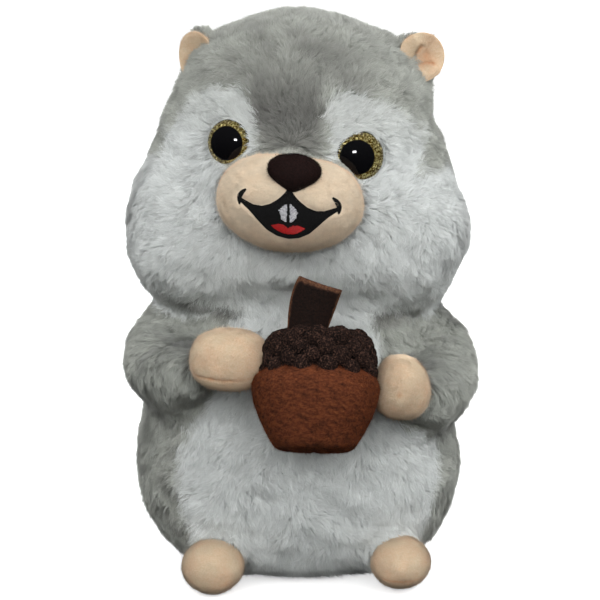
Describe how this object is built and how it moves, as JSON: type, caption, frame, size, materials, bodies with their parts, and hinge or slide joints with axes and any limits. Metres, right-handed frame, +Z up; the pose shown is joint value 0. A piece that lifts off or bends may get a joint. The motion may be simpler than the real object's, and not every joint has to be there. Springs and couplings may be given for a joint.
{
  "type": "plush toy squirrel holding a plush acorn",
  "caption": "A stuffed soft toy: a grey and white plush squirrel sitting up with a bushy tail, peach muzzle, hands and feet, glitter safety eyes, and a stuffed brown acorn held at its chest.",
  "frame": {"origin": "on the floor under the middle of the toy's box", "axes": "+Z up, the toy looks along -Y, and its left side is at +X"},
  "size_m": [0.1554, 0.232, 0.2455],
  "materials": {
    "long_pile_plush": "soft long pile plush, grey with white face, chest and belly",
    "peach_velboa": "short matt velboa pile in pale peach",
    "nose_velour": "dark brown velour",
    "eye_plastic": "clear domed plastic over gold glitter with a black pupil",
    "nut_velour": "chestnut brown velour with a knitted grain",
    "cap_chenille": "knobbly dark brown chenille",
    "stem_felt": "doubled strap of brown suede-like felt",
    "embroidery": "satin stitch in black, white and red thread"
  },
  "bodies": {
    "root": {"head": "long_pile_plush", "trunk": "long_pile_plush", "tail": "long_pile_plush", "muzzle": "peach_velboa", "nose": "nose_velour", "eye_left": "eye_plastic", "eye_right": "eye_plastic", "ear_left": "long_pile_plush", "ear_lining_left": "peach_velboa", "ear_right": "long_pile_plush", "ear_lining_right": "peach_velboa", "arm_left": "long_pile_plush", "hand_left": "peach_velboa", "foot_left": "peach_velboa", "arm_right": "long_pile_plush", "hand_right": "peach_velboa", "foot_right": "peach_velboa", "acorn_nut": "nut_velour", "acorn_cap": "cap_chenille", "acorn_stem": "stem_felt"}
  },
  "joints": []
}
